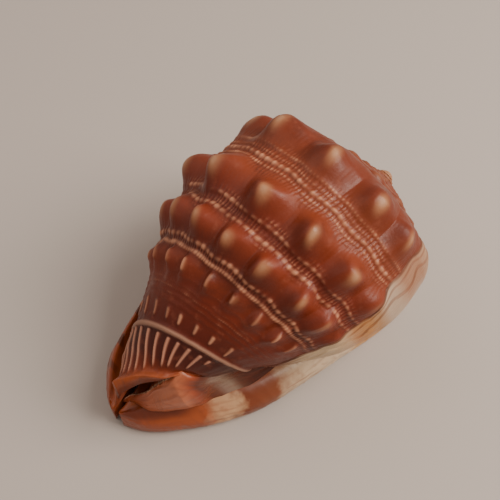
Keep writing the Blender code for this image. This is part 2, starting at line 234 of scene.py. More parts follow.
def whorlRelief(angle, along):
    # height over the plain outline, and the marks that the colours go by. Knobs are bells of
    # e to the minus distance^power, with their own width on each side. Cords are ridges along
    # the spiral, bent away from the knobs and cut by ribs across it.
    knob, pushed, tip, shade = 0, 0, 0, 0
    bent = 0.8 * wander(angle * 0.8, along, 11.0, 4)
    for place, height, steep, longSlope, toLip, fromLip, power, angles in sculpture["knobRows"]:
        down = place - along + bent
        slope = np.where(down > 0, longSlope, steep)
        radius = outlineRadius(place)
        near = 0
        for middle in angles:
            aside = np.radians(angle - middle) * radius + 0.6 * bent
            width = np.where(aside > 0, toLip, fromLip)
            distance = (down / slope) ** 2 + (aside / width) ** 2
            size = 1 + sculpture["sizeSpread"] * np.sin(middle * 1.7 + place + 2.0)
            knob = np.maximum(knob, size * height * np.exp(-(distance ** (power / 2))))
            # tip: the pale top of each knob, set a little away from the lip towards the light,
            # partly a painted highlight
            bright = min(1, height / 5.5) * hump(down / slope - 0.03, 0.55)
            tip = np.maximum(tip, bright * hump((aside + 0.2 * down) / width + 0.12, 0.34))
            # shade: painted shade on each knob's steep side towards the lip, which turns from the
            # light, in part the shell's own dark brown
            dark = min(1, height / 5) * hump(down / slope - 0.1, 0.75)
            shade = np.maximum(shade, dark * hump(aside / toLip - 0.62, 0.42))
            near = near + hump(angle - middle, 7.0)
        reach = np.exp(-np.abs(down) / sculpture["pushReach"])
        pushed = pushed - np.sign(down) * near * height / 7 * reach
    fade = np.clip((coil["lipAngle"] - angle) / sculpture["lipFade"], 0, 1)
    fade = fade * np.interp(angle, sculpture["glazeFade"], (0, 1))
    knob, tip, shade = knob * fade, tip * fade, shade * fade

    flowed = along - sculpture["push"] * pushed
    unevenRibs = (0.35 * np.sin(np.radians(angle * 31))
                  + 0.2 * np.sin(np.radians(angle * 77 + along * 9)))
    ribPhase = (angle + unevenRibs + 0.12 * along) / sculpture["ribStep"]
    ribWave = 0.5 + 0.5 * np.cos(2 * np.pi * ribPhase)
    cord, cordHeight = 0, 0
    for place, halfWidth, height, cut, ribsPerBead in sculpture["cords"]:
        beads = 0.5 + 0.5 * np.cos(2 * np.pi * ribPhase / ribsPerBead + place)
        ridge = hump(flowed - place, halfWidth) * (1 - cut * (1 - beads))
        cord = np.maximum(cord, ridge * min(1, height / 0.6))
        cordHeight = cordHeight + height * ridge
    band = 0
    for top, bottom in sculpture["ribbedBands"]:
        band = np.maximum(band, ease((top - flowed) / 2.5) * ease((flowed - bottom) / 2.5))
    smooth = 1 - ease(knob / 4.5)
    edge = np.interp(along, *sculpture["glazeEdge"])
    edge = edge + 0.9 * wander(along, 0 * along, 9.0, 3)
    glaze = ease((edge - angle) / 1.2 + 0.5)
    bare = (1 - glaze) * fade**0.3
    patchy = 0.75 + 0.25 * wander(angle, along * 1.5, 9.0, 15)
    ribs = band * ribWave * smooth * bare * patchy
    cordHeight = (cordHeight * smooth + sculpture["ribHeight"] * ribs) * bare
    cord = cord * smooth * bare * patchy

    dash, dashHeight = 0, 0
    for place, halfLength, height, halfWidth, brightness, lean, angles in sculpture["nodules"]:
        radius = outlineRadius(place)
        past = along - place
        for middle in angles:
            length = halfLength * (1 + 0.25 * np.sin(middle * 2.3))
            aside = np.radians(angle - middle - lean * past - 0.06 * past**2) * radius
            wedge = halfWidth * (1 + 0.22 * past / length)
            ends = ease((length - np.abs(past)) / 1.6 + 0.4)
            ridge = hump(aside, np.maximum(wedge, 0.2)) * ends
            dash = np.maximum(dash, ridge * brightness * (0.8 + 0.2 * np.sin(middle * 3.1)))
            dashHeight = np.maximum(dashHeight, ridge * height)
    keelPlace, keelDrift, keelHalf, keelHeight = sculpture["keel"]
    keel = hump(along - keelPlace - keelDrift * (angle - 90), keelHalf)
    fan, fanRib = sculpture["fan"], 0
    down = fan["start"] - along
    for middle in fan["angles"]:
        end = np.interp(middle, *fan["end"])
        sweep = np.interp(middle, *fan["sweep"]) * np.clip(down / 11, 0, None) ** 1.7
        aside = np.radians(angle - middle + sweep) * outlineRadius(along)
        share = np.clip(down / (fan["start"] - end), 0, 1)
        width = fan["halfWidth"][0] + (fan["halfWidth"][1] - fan["halfWidth"][0]) * share
        ends = ease(down / 0.9) * ease((along - end) / 2.5 + 0.1)
        fanRib = np.maximum(fanRib, hump(aside, width) * ends)
    ledge, line = 0, 0
    for back, height, soft in sculpture["glazeLedges"]:
        behind = edge - back - angle + (0.25 * back) * wander(along, back + 0 * along, 13.0, 40)
        ledge = ledge + height * ease(behind / soft + 0.5)
        # line: dark lines on the steps of the glaze's ledges, painted shade in their creases
        line = np.maximum(line, hump(behind / soft, 0.8))
    growth = wander((edge - angle) * 1.2, along * 0.12, 1.6, 41) * ease((edge - angle) / 2)
    upper = 0.15 + 0.85 * ease((along + 2) / 10)
    # painted shadow: a dark line along the glaze's edge on the whorl
    brink = hump(edge - angle - 0.6, 1.1) * (0.75 + 0.25 * wander(along, 0 * along, 7.0, 44))

    height = knob + cordHeight + dashHeight * bare + keelHeight * keel * (1 - glaze) ** 0.5
    height = height + fan["height"] * fanRib * (1 - glaze) + ledge + 0.08 * growth
    height = height + 0.14 * wander(angle, along * 1.3, 14.0, 5)
    height = height + 0.05 * wander(angle * 4, along * 0.4, 9.0, 6) * ease((along + 22) / 12)
    height = height + 0.9 * hump(along + 52.3, 1.3) - 0.5 * hump(along + 49.0, 2.0)
    marks = {
        "along": along, "tip": tip, "shade": shade, "cord": cord, "ribs": ribs,
        "dash": dash * bare, "keel": keel * (1 - glaze), "fan": fanRib * (1 - glaze),
        "glaze": glaze,
        # growth lines join the painted shade on the ledges' steps
        "line": np.clip(line + 0.3 * np.clip(growth, 0, 1), 0, 1) * upper * (angle < edge + 1.5),
        "brink": brink * ease((along + 32) / 8),
        "depth": np.clip((edge - angle) / 40, 0, 1) * ease((along - 20) / 8),
    }
    return height, marks


# Last whorl, in two pieces that meet in the groove between two cords

whorl = {
    "coarseColumns": 40,  # of the hidden start
    "fineFrom": -12.0,
    "fineColumns": 640,
    # from and to along the axis, and rows
    "pieces": {"whorlTop": (55.4, 8.6, 122), "whorlFront": (8.6, -52.5, 124)},
    "rimStart": -45.0,
    "rimSpan": 7.5,
    "wall": 3.4,
    "rimWall": 4.4,
    "rimTuck": 2.0,
    "innerRows": 12,
}


def makeWhorl(name, fromAlong, toAlong, rowCount):
    # each ring is the outline with its relief, laid out along the normal, and then the inside
    # of the wall, which is the plain outline moved inwards. The rim is drawn out along the
    # axis, and its inner edge is tucked forwards, so that the rim is rolled over.
    angle = np.concatenate((
        np.linspace(coil["firstAngle"], whorl["fineFrom"], whorl["coarseColumns"], endpoint=False),
        np.linspace(whorl["fineFrom"], coil["lipAngle"], whorl["fineColumns"]),
    ))[:, None]
    along, radius, normalAlong, normalOut = outlineRows(fromAlong, toAlong, rowCount)
    height, marks = whorlRelief(*np.broadcast_arrays(angle, along[None, :]))
    nearRim = ease((whorl["rimStart"] - along) / whorl["rimSpan"])
    drawn = np.interp(angle, *sculpture["rim"]) * nearRim
    radius = radius * (1 - np.interp(angle, *sculpture["rimIn"]) * nearRim)
    outer = coilPoint(angle, along - drawn + normalAlong * height, radius + normalOut * height)
    pick = np.linspace(rowCount - 1, 0, whorl["innerRows"]).round().astype(int)
    deep = whorl["rimWall"] + (whorl["wall"] - whorl["rimWall"]) * ease((along + 52.5) / 10)
    innerAlong = along - drawn - normalAlong * deep * (1 - nearRim) - whorl["rimTuck"] * nearRim
    innerRadius = radius - deep * (normalOut + (1 - normalOut) * nearRim)
    inner = coilPoint(angle, innerAlong[:, pick], innerRadius[:, pick])
    grid = np.concatenate((outer, inner), axis=1)
    for mark, values in marks.items():
        inside = values[:, pick] if mark == "along" else np.zeros((len(angle), len(pick)))
        marks[mark] = np.concatenate((np.broadcast_to(values, height.shape), inside), axis=1)
    outside, inside = np.zeros(height.shape), np.ones((len(angle), len(pick)))
    marks["inside"] = np.concatenate((outside, inside), axis=1)
    return makeLoft(name, grid, marks)


whorlPieces = [makeWhorl(name, *rows) for name, rows in whorl["pieces"].items()]


# Earlier whorls: the spire outside, and the whorl before the last, seen through the aperture

spire = {
    "turns": 10,
    "columnsPerTurn": 110,
    "rows": 26,
    "fromAlong": 55.2,
    "toAlong": 43.5,
    "overlap": 12,  # degrees that it runs on under the last whorl
    "knobPlace": 49.6,
    "knobHalfWidth": 2.6,
    "knobStep": 26.0,
    "knobHeight": 2.4,
    "knobFade": 14,  # degrees over which the knobs die out before the last whorl
    "lineStep": 1.5,
    "lineHeight": 0.14,
    "core": 3.0,
    "tipLift": 2.2,  # how far the first whorls stand out as the pale tip
    "tipSize": 0.16,  # size, as a share of the last whorl's, under which they do
}


def makeSpire():
    # the part of the outline above the suture, carried back round the coil, with a row of
    # knobs on its shoulder, and closed by a small core round the axis
    last = coil["firstAngle"] + spire["overlap"]
    columns = spire["turns"] * spire["columnsPerTurn"]
    angle = np.linspace(last - 360 * spire["turns"], last, columns)[:, None]
    along, radius, normalAlong, normalOut = outlineRows(
        spire["fromAlong"], spire["toAlong"], spire["rows"])
    wave = 0.5 + 0.5 * np.cos(2 * np.pi * angle / spire["knobStep"])
    knob = wave**1.5 * hump(along - spire["knobPlace"], spire["knobHalfWidth"])
    knob = knob * ease((coil["firstAngle"] - angle) / spire["knobFade"])
    lines = 0.5 + 0.5 * np.cos(2 * np.pi * along / spire["lineStep"])
    height = spire["knobHeight"] * knob + spire["lineHeight"] * lines * (1 - knob)
    height = height + 0.1 * wander(angle, along * 2, 12.0, 8)
    size = coil["expansion"] ** ((angle - 90) / 360)
    lift = spire["tipLift"] * ease((spire["tipSize"] - size) / 0.13) / size
    outer = coilPoint(angle, along + lift + normalAlong * height, radius + normalOut * height)
    coreAlong = np.array([spire["toAlong"], 52.0, 60.0]) + lift
    core = coilPoint(angle, coreAlong, np.full(3, spire["core"]))
    grid = np.concatenate((outer, core), axis=1)
    pad = np.zeros((len(angle), 3))
    pale = ease((spire["tipSize"] - size) / 0.1) + 0 * knob
    marks = {"tip": np.maximum(knob * 0.5, pale), "cord": 0.5 * lines * (1 - knob)}
    marks["along"] = np.broadcast_to(along, height.shape)
    marks = {mark: np.concatenate((values, pad), axis=1) for mark, values in marks.items()}
    return makeLoft("spire", grid, marks)


innerWhorl = {
    "columns": 200,
    "rows": 60,
    "reach": 52.0,  # along the axis, to both sides
    "overlap": 4,  # degrees that it runs on into the last whorl
    "sunk": 1.2,  # below the outline
    "coreAlong": (-50.0, 0.0, 50.0),
    "core": 3.0,
}


def makeInnerWhorl():
    # the whole outline one turn back, smooth under its glaze, closed round the axis
    first, last = coil["firstAngle"] - 360, coil["firstAngle"] + innerWhorl["overlap"]
    angle = np.linspace(first, last, innerWhorl["columns"])[:, None]
    along, radius, normalAlong, normalOut = outlineRows(
        innerWhorl["reach"], -innerWhorl["reach"], innerWhorl["rows"])
    height = 0.15 * wander(angle, along, 16.0, 12)
    outRadius = radius - innerWhorl["sunk"] + normalOut * height
    outer = coilPoint(angle, along + normalAlong * height, outRadius)
    core = coilPoint(angle, np.array(innerWhorl["coreAlong"]), np.full(3, innerWhorl["core"]))
    grid = np.concatenate((outer, core), axis=1)
    return makeLoft("innerWhorl", grid, {})


spirePiece, innerPiece = makeSpire(), makeInnerWhorl()


# Shield and outer lip: one thick C round the aperture, open at the canal

base = {
    "edge": [  # seen from above, from the shield's tip at the canal round to the lip's
        (-4.5, -69.5), (4.5, -63.5), (12.0, -54.5), (20.0, -41.5), (27.0, -25.0), (30.3, -8.0),
        (32.5, 12.0), (34.8, 30.0), (35.5, 44.0), (34.0, 56.0), (25.0, 65.0), (8.0, 67.5),
        (-14.0, 65.5), (-34.0, 59.0), (-50.0, 47.0), (-57.5, 30.0), (-58.0, 12.0), (-53.0, -5.0),
        (-46.0, -20.0), (-39.5, -35.0), (-34.0, -48.0), (-28.0, -59.5), (-18.5, -67.5),
        (-11.0, -70.0),
    ],
    "aperture": [
        (-18.0, 52.0), (-26.0, 38.0), (-30.0, 18.0), (-28.5, -4.0), (-22.5, -28.0), (-15.5, -48.0),
        (-10.0, -62.0), (-7.7, -71.0),
    ],
    "apexPoint": 12.0,  # the edge's point straight on from the aperture's apex end
    "spokeLimit": 52,  # spokes past this y start from the aperture's apex end
    "smoothing": 14,  # rings to each side over which the spokes' starts are evened out
    # aperture's width at shares of its length, from its apex end
    "width": ((0, 0.1, 0.7, 0.92, 1), (1.2, 8.6, 8.6, 3.4, 1.8)),
    "rings": 700,
    "perimeter": 400,  # mm round the edge, about
    "ringPoints": 9,  # for each span of the section
    # section: mm in from the edge, and up, for the shield, its blade at the canal and the lip
    "shieldSection": [(5.0, 0.0), (1.2, 1.4), (0.0, 5.0), (1.6, 10.0), (9.0, 15.0)],
    "bladeSection": [(2.6, 0.0), (0.4, 1.2), (0.0, 4.8), (0.4, 9.6), (2.4, 13.4)],
    "lipSection": [(8.0, 0.0), (1.8, 3.5), (0.0, 10.0), (3.6, 19.0), (14.0, 27.0)],
    "bladeEnds": 0.09,  # share of the edge
    "lipPlaces": (0.50, 0.60, 0.88, 0.97),  # shares between which the lip swells and thins
    "teeth": 22,
    "lipTooth": 1.7,
    "shieldTooth": 0.9,
    "toothed": 0.86,  # share of the aperture's length
    "foldReach": 9.0,  # the teeth run on over the underside as low folds, this far
    "foldDepth": 0.9,
    "blotchStep": 14.0,  # dark patches round the lip
}


def makeBase():
    # for each ring: a spoke from the aperture's side out to the edge, and on it a closed
    # section of aperture wall, underside, rounded rim and hidden top. Teeth are waves along
    # the aperture.
    rings = base["rings"]
    edgeCurve = smoothCurve(base["edge"], 40)
    place = np.linspace(0, 1, rings)
    edgePlace = np.linspace(0, 1, len(edgeCurve))
    edge = np.stack([np.interp(place, edgePlace, side) for side in edgeCurve.T], axis=-1)
    path = smoothCurve(base["aperture"], 30)
    lengths = np.concatenate(([0], np.cumsum(np.hypot(*np.diff(path, axis=0).T))))
    lengths /= lengths[-1]
    apexPlace = base["apexPoint"] / (len(base["edge"]) - 1)
    # -1 on the shield's side, 1 on the lip's
    toLip = ease((place - apexPlace) / 0.10 + 0.5) * 2 - 1
    spoke = np.where(edge[:, 1] > base["spokeLimit"], base["spokeLimit"], edge[:, 1])
    share = np.interp(-spoke, -path[:, 1], lengths)
    share = np.where(np.abs(place - apexPlace) < 0.05, 0, share)
    span = 2 * base["smoothing"] + 1
    padded = np.pad(share, base["smoothing"], mode="edge")
    share = np.convolve(padded, np.ones(span) / span, mode="valid")
    centre = np.stack([np.interp(share, lengths, side) for side in path.T], axis=-1)
    ahead = np.stack([np.interp(share, lengths, np.gradient(side)) for side in path.T], axis=-1)
    ahead /= np.linalg.norm(ahead, axis=-1, keepdims=True)
    lipWards = np.stack((ahead[:, 1], -ahead[:, 0]), axis=-1)
    width = np.interp(share, *base["width"]) / 2
    inner = centre + lipWards * (width * toLip)[:, None]
    outwards = edge - inner
    reach = np.linalg.norm(outwards, axis=-1, keepdims=True)
    outwards /= reach
    lip = ease(np.interp(place, base["lipPlaces"], (0, 1, 1, 0)))[:, None]
    blade = (1 - ease(place / base["bladeEnds"]))[:, None]

    shield, bladePart, lipPart = (
        np.array(base[kind]) for kind in ("shieldSection", "bladeSection", "lipSection"))
    inset, up = (
        shield[:, k] + lip * (lipPart[:, k] - shield[:, k])
        + blade * (bladePart[:, k] - shield[:, k]) for k in (0, 1))
    inset = np.minimum(inset, 0.45 * reach)
    top = 14 + 3 * lip - 2.5 * blade
    none = 0 * reach
    underIn = (reach - 1.2, reach - np.minimum(4, 0.3 * reach), 0.75 * reach, 0.5 * reach,
               np.maximum(0.3 * reach, inset[:, :1] + 0.5))
    topIn, topUp = 0.5 * (reach + inset[:, -1:]), 0.5 * (top + up[:, -1:])
    sectionIn = np.concatenate((reach, reach, reach, *underIn, inset, topIn), axis=1)
    underUp = (none + 0.9, none + 0.5, none + 0.7, none + 0.6, none + 0.15)
    sectionUp = np.concatenate((top, none + 9, none + 3, *underUp, up, topUp), axis=1)
    corners = np.stack((sectionIn, sectionUp), axis=-1)
    section = smoothCurve(corners, base["ringPoints"], closed=True)
    section[..., 1] = np.maximum(section[..., 1], 0)

    fromAperture = reach - section[..., 0]
    onUnder = ease((6.0 - section[..., 1]) / 3.0) * ease((fromAperture + 1) / 1.5)
    wave = 0.5 + 0.5 * np.cos(2 * np.pi * share * base["teeth"])
    wave = (wave**0.8 * (share < base["toothed"]) * ease(share / 0.04))[:, None]
    onWall = ease((1.5 - fromAperture) / 1.5) * ease((12 - section[..., 1]) / 5.0)
    toothDepth = base["shieldTooth"] + lip * (base["lipTooth"] - base["shieldTooth"])
    section[..., 0] += toothDepth * wave * onWall
    foldFade = ease((base["foldReach"] - fromAperture) / base["foldReach"])
    beforeEnd = (share < base["toothed"])[:, None]
    section[..., 1] += base["foldDepth"] * (1 - wave) * foldFade * onUnder * beforeEnd
    rimRound = 1 - ease(section[..., 0] / 12)
    distance, high = place[:, None] * base["perimeter"], section[..., 1]
    wrinkle = wander(distance, high * 0.8, 8.0, 21) * 0.25 * rimRound * ease(high / 4)
    wavy = high + 0.6 * wander(distance, 0 * distance, 30.0, 23)
    layers = wander(distance * 0.06, wavy, 1.7, 22)
    turn = 2 * np.pi * distance / base["blotchStep"] + 1.5 * wander(distance, high, 40.0, 24)
    ragged = ease(1.3 * np.cos(turn) + wander(distance, high * 1.5, 9.0, 25) - 0.3)
    patches = lip * ease((high - 3) / 4) * ragged
    section[..., 0] += np.abs(wrinkle) + 0.12 * (layers + 1) * rimRound * ease(high / 3)
    plan = edge[:, None, :] - outwards[:, None, :] * section[..., :1]
    grid = np.concatenate((plan, section[..., 1:]), axis=-1) - coil["middle"]
    even = np.ones_like(fromAperture)
    marks = {
        "fromEdge": section[..., 0], "tooth": wave * even, "round": place[:, None] * even,
        "toothed": np.maximum(foldFade * onUnder, onWall) * (beforeEnd & (share > 0.02)[:, None]),
        "inside": ease((section[..., 1] - 9) / 4) * ease((4 - fromAperture) / 4),
        # painted shadow of the lobe on the top of the blade at the canal
        "bladeShadow": ease((0.14 - place[:, None]) / 0.05) * ease((section[..., 1] - 9.5) / 4),
        "layers": np.clip(layers, 0, 1) * rimRound,
        "blotch": patches,
    }
    return makeLoft("shieldAndLip", grid, marks)


basePiece = makeBase()


# Fold from the canal's rim: a lobe with a frayed upper edge, and the hollow wall behind it
# that runs down to the shield

fold = {
    "upper": [
        (-9.5, -64.0, 12.5), (-7.5, -61.0, 17.0), (-5.0, -59.5, 20.5), (-1.0, -57.0, 25.5),
        (0.5, -53.5, 31.0), (4.0, -50.0, 37.5), (6.6, -45.6, 42.4), (9.3, -43.2, 40.8),
        (11.5, -39.8, 37.4), (12.3, -36.0, 33.8), (13.5, -29.5, 31.0), (16.0, -21.0, 29.0),
        (18.0, -12.0, 25.0), (18.0, -4.0, 20.0),
    ],
    "shoulder": [
        (-9.6, -64.2, 12.0), (-7.2, -61.7, 15.8), (-4.4, -60.1, 19.0), (-0.3, -57.8, 24.0),
        (1.8, -55.2, 29.3), (5.6, -51.8, 35.6), (8.2, -49.4, 39.6), (10.4, -46.6, 37.8),
        (12.2, -43.0, 34.6), (13.0, -38.0, 31.0), (14.0, -31.0, 28.0), (16.3, -22.0, 26.0),
        (18.3, -12.5, 22.0), (18.2, -4.2, 17.0),
    ],
    "lower": [
        (-9.8, -64.3, 11.0), (-7.5, -62.3, 10.8), (-3.5, -59.8, 10.8), (1.0, -57.2, 10.8),
        (5.5, -53.3, 11.5), (8.8, -48.8, 13.0), (11.2, -44.5, 14.0), (13.0, -40.5, 14.0),
        (14.2, -36.5, 14.0), (16.0, -31.5, 14.0), (18.5, -26.0, 14.0), (20.5, -19.0, 14.0),
        (21.0, -9.5, 13.0), (20.0, -2.0, 12.0),
    ],
    "length": 90,  # mm, about
    "bulge": (0.2, 0.7, 1.4, 2.2, 3.0, 3.6, 3.8, 2.6, 0.6, -1.5, -1.5, -1.0, 0.0, 0.0),
    "thickness": (1.0, 1.4, 2.0, 3.0, 4.5, 6.0, 7.5, 8.0, 8.0, 7.0, 6.0, 5.0, 4.0, 3.0),
    "rings": 18,  # for each span of the edges
    "ringPoints": 13,  # for each span of the section
    "frayed": 0.9,
    "frayedUntil": 0.36,  # share of the length
    "streakDepth": 0.18,
}


def makeFold():
    # each ring goes from the upper edge over the shoulder to the lower edge, bulged by a
    # parabola below the shoulder, and back the same way, moved inwards by the thickness
    upper, shoulder, lower = (
        smoothCurve(fold[edge], fold["rings"]) for edge in ("upper", "shoulder", "lower"))
    place = np.linspace(0, 1, len(upper))
    stations = np.linspace(0, 1, len(fold["bulge"]))
    bulge = np.interp(place, stations, fold["bulge"])[:, None]
    thickness = np.interp(place, stations, fold["thickness"])[:, None]
    length = place * fold["length"]
    nicks = wander(length, 0 * length, 3.2, 51) + 0.5 * wander(length, 0 * length, 1.3, 52)
    frayFade = 1 - ease((place - fold["frayedUntil"]) / 0.06)
    upper[:, 2] += fold["frayed"] * nicks * frayFade * ease(place / 0.04)
    ahead = np.gradient(0.5 * (upper + lower), axis=0)
    outwards = np.cross(ahead, upper - lower)
    outwards /= np.linalg.norm(outwards, axis=1, keepdims=True)
    down = np.array([0, 0.33, 0.67, 1.0, 0.67, 0.33, 0])
    side = np.array([0, 0, 0, 0, 1, 1, 1])
    out = bulge * 4 * down * (1 - down) - thickness * side
    corners = (shoulder[:, None] + (lower - shoulder)[:, None] * down[:, None]
               + outwards[:, None] * out[..., None])
    corners = np.concatenate((upper[:, None], corners), axis=1)
    grid = smoothCurve(corners, fold["ringPoints"], closed=True)
    turn = np.linspace(0, 1, grid.shape[1])[None, :]
    streaks = wander(length[:, None] * 0.16 + turn * 3, turn * 40, 2.4, 53)
    uneven = fold["streakDepth"] * streaks + 0.3 * wander(length[:, None], turn * 50, 13.0, 54)
    grid = grid + outwards[:, None] * uneven[..., None]
    # painted highlight along the frayed upper edge, over about the first half of the fold
    edgeHighlight = hump(np.minimum(turn, 1 - turn), 0.018) * ease((0.48 - place[:, None]) / 0.06)
    marks = {"length": place[:, None] + 0 * turn, "streak": streaks, "edge": edgeHighlight}
    return makeLoft("canalFold", grid - coil["middle"], marks)


foldPiece = makeFold()


# Materials

def linearColour(hexColour):
    # sRGB hex to linear values
    values = np.array([int(hexColour[k : k + 2], 16) for k in (1, 3, 5)]) / 255
    values = np.where(values <= 0.04045, values / 12.92, ((values + 0.055) / 1.055) ** 2.4)
    return (*values.tolist(), 1.0)


def addNode(tree, kind, settings=None, links=None, stops=None):
    # settings that name a socket, by name or number, are set on it; others on the node
    node = tree.nodes.new(kind)
    for name, value in (settings or {}).items():
        if isinstance(name, int) or name in node.inputs:
            node.inputs[name].default_value = value
        else:
            setattr(node, name, value)
    for name, source in (links or {}).items():
        tree.links.new(source, node.inputs[name])
    if stops:
        ramp = node.color_ramp
        for position, colour in stops[1:-1]:
            ramp.elements.new(position)
        for element, (position, colour) in zip(ramp.elements, stops):
            element.position = position
            element.color = linearColour(colour)
    return node


def startMaterial(name, settings):
    # a material with these values on its shader's own sockets
    material = bpy.data.materials.new(name)
    material.use_nodes = True
    tree = material.node_tree
    shader = tree.nodes["Principled BSDF"]
    for socket, value in settings.items():
        shader.inputs[socket].default_value = value
    return material, tree, shader


def layColours(tree, colour, sources, layers):
    # lays colours over one another: each goes by one source, from where it starts to where it
    # is full, up to its strength
    for source, start, full, strength, tint in layers:
        amount = addNode(tree, "ShaderNodeMapRange", {
            "interpolation_type": "SMOOTHSTEP",
            "From Min": start, "From Max": full, "To Max": strength,
        }, {"Value": sources[source]})
        links = {0: amount.outputs[0], 6: colour}
        settings = {"data_type": "RGBA"}
        if isinstance(tint, str):
            settings[7] = linearColour(tint)
        else:
            links[7] = tint
        colour = addNode(tree, "ShaderNodeMix", settings, links).outputs[2]
    return colour


rampReach = 55  # mm along the axis that a ramp covers to each side of the middle


def alongStops(pairs):
    # colours at places along the axis, as stops of a ramp from 0 at the apex's end to 1 at
    # the canal's: (reach - place) / (2 * reach)
    return [((rampReach - along) / (2 * rampReach), colour) for along, colour in pairs]


# Sculptured shell: calcareous, worn a little, semi-glossy. Red-brown between pale beads and
# cream knob tips, which are partly a painted highlight, with painted shade on each knob's steep
# lip side, and the glaze of the shield over its lower side, with a painted shadow along its
# edge and painted shade on the steps of its ledges.
whorlColours = {
    "bands": alongStops([
        (55, "#763824"), (46, "#72301d"), (37, "#70301b"), (30, "#78361f"), (22, "#7e361f"),
        (14, "#6f2a17"), (8, "#5e2012"), (2, "#7c321d"), (-5, "#642413"), (-9, "#521c0f"),
        (-14, "#722c17"), (-20, "#6a2512"), (-28, "#60200e"), (-35, "#561c0e"),
        (-38, "#42150b"), (-45, "#4c1a0e"), (-49, "#6a2812"), (-53, "#a04e28"),
    ]),
    "glaze": alongStops([
        (55, "#b39274"), (44, "#a3755a"), (35, "#a3755a"), (29, "#b89c84"), (24, "#bfa58e"),
        (19, "#b5875f"), (14, "#bd824c"), (8, "#c08556"), (4, "#c5a07c"), (-3, "#c6aa88"),
        (-14, "#c4a888"), (-19, "#a88468"), (-25, "#743c24"), (-38, "#5e2410"),
        (-53, "#8c3c1c"),
    ]),
    "bead": "#c98a6a",
    "rib": "#94503a",
    # pale knob tips, partly a painted highlight, and cream where they are strongest
    "tip": "#bb8660",
    "cream": "#dcb894",
    # painted shade on the knobs' steep lip side, in part their own dark brown
    "shade": "#541a0c",
    "dash": "#c98c6c",
    "keel": "#9c715c",
    "fanRib": "#b67c64",
    "outerGlaze": "#cdb8a2",
    # painted shade on the steps of the glaze's ledges, and growth lines
    "line": "#6e3c28",
    # painted shadow along the glaze's edge
    "brink": "#5c2c1c",
    "inside": "#7a3418",
    "dirt": "#3c150b",
    "cloudScale": 90.0,  # clouds of about 11 mm
    "patchScale": 260.0,  # patches of about 4 mm
    # wear pits of about 0.7 mm, drawn coarser than real ones so that they show
    "pitScale": 1400.0,
    "cloudShift": 5.0,  # mm that the clouds move the bands along
    "marks": ("along", "tip", "shade", "cord", "ribs", "dash", "keel", "fan", "glaze", "line",
              "brink", "depth", "inside"),
}


def makeWhorlMaterial():
    material, tree, shader = startMaterial("semiGlossySculpturedShell", {
        "IOR": 1.5, "Specular IOR Level": 0.26, "Coat Weight": 0.02, "Coat Roughness": 0.25,
    })
    source = {
        name: addNode(tree, "ShaderNodeAttribute", {"attribute_name": name}).outputs["Fac"]
        for name in whorlColours["marks"]
    }
    place = {"Vector": addNode(tree, "ShaderNodeTexCoord").outputs["Object"]}
    cloud = addNode(tree, "ShaderNodeTexNoise", {
        "Scale": whorlColours["cloudScale"], "Detail": 4.0, "Roughness": 0.6,
    }, place)
    pits = addNode(tree, "ShaderNodeTexNoise", {
        "Scale": whorlColours["pitScale"], "Detail": 3.0, "Roughness": 0.6,
    }, place)
    patch = addNode(tree, "ShaderNodeTexNoise", {
        "Scale": whorlColours["patchScale"], "Detail": 3.0, "Roughness": 0.55,
    }, place)
    source["cloud"], source["patch"] = cloud.outputs["Fac"], patch.outputs["Fac"]
    shift = whorlColours["cloudShift"]
    shifted = addNode(tree, "ShaderNodeMath", {
        "operation": "MULTIPLY_ADD", 1: shift,
    }, {0: source["cloud"], 2: source["along"]})
    # half the shift is taken off again, since the clouds' mean is a half
    bandPlace = addNode(tree, "ShaderNodeMapRange", {
        "From Min": rampReach + shift / 2, "From Max": shift / 2 - rampReach,
    }, {"Value": shifted.outputs[0]})
    bands, glazeBands = (
        addNode(tree, "ShaderNodeValToRGB", {}, {"Fac": bandPlace.outputs[0]}, whorlColours[kind])
        for kind in ("bands", "glaze"))
    colour = layColours(tree, bands.outputs[0], source, [
        ("cloud", 0.5, 0.8, 0.45, whorlColours["dirt"]),
        ("patch", 0.55, 0.75, 0.25, whorlColours["rib"]),
        ("ribs", 0.2, 1.0, 0.5, whorlColours["rib"]),
        ("cord", 0.15, 0.9, 0.85, whorlColours["bead"]),
        # pale knob tips, partly a painted highlight
        ("tip", 0.1, 1.0, 0.55, whorlColours["tip"]),
        ("tip", 0.7, 1.15, 0.25, whorlColours["cream"]),
        # painted shade on each knob's steep lip side
        ("shade", 0.2, 1.0, 0.45, whorlColours["shade"]),
        ("dash", 0.15, 0.95, 0.85, whorlColours["dash"]),
        ("keel", 0.2, 0.9, 0.9, whorlColours["keel"]),
        ("fan", 0.15, 0.95, 0.9, whorlColours["fanRib"]),
        ("glaze", 0.0, 1.0, 0.95, glazeBands.outputs[0]),
        ("depth", 0.4, 1.0, 0.6, whorlColours["outerGlaze"]),
        # painted shade on the steps of the glaze's ledges, and growth lines
        ("line", 0.3, 1.0, 0.5, whorlColours["line"]),
        # painted shadow along the glaze's edge
        ("brink", 0.1, 0.9, 0.85, whorlColours["brink"]),
        ("inside", 0.0, 1.0, 1.0, whorlColours["inside"]),
    ])
    tree.links.new(colour, shader.inputs["Base Color"])
    rough = addNode(tree, "ShaderNodeMapRange", {
        "From Min": 0.3, "From Max": 0.7, "To Min": 0.32, "To Max": 0.55,
    }, {"Value": source["patch"]})
    tree.links.new(rough.outputs[0], shader.inputs["Roughness"])
    bump = addNode(tree, "ShaderNodeBump", {
        "Strength": 0.35, "Distance": 0.00025,
    }, {"Height": pits.outputs["Fac"]})
    tree.links.new(bump.outputs[0], shader.inputs["Normal"])
    return material


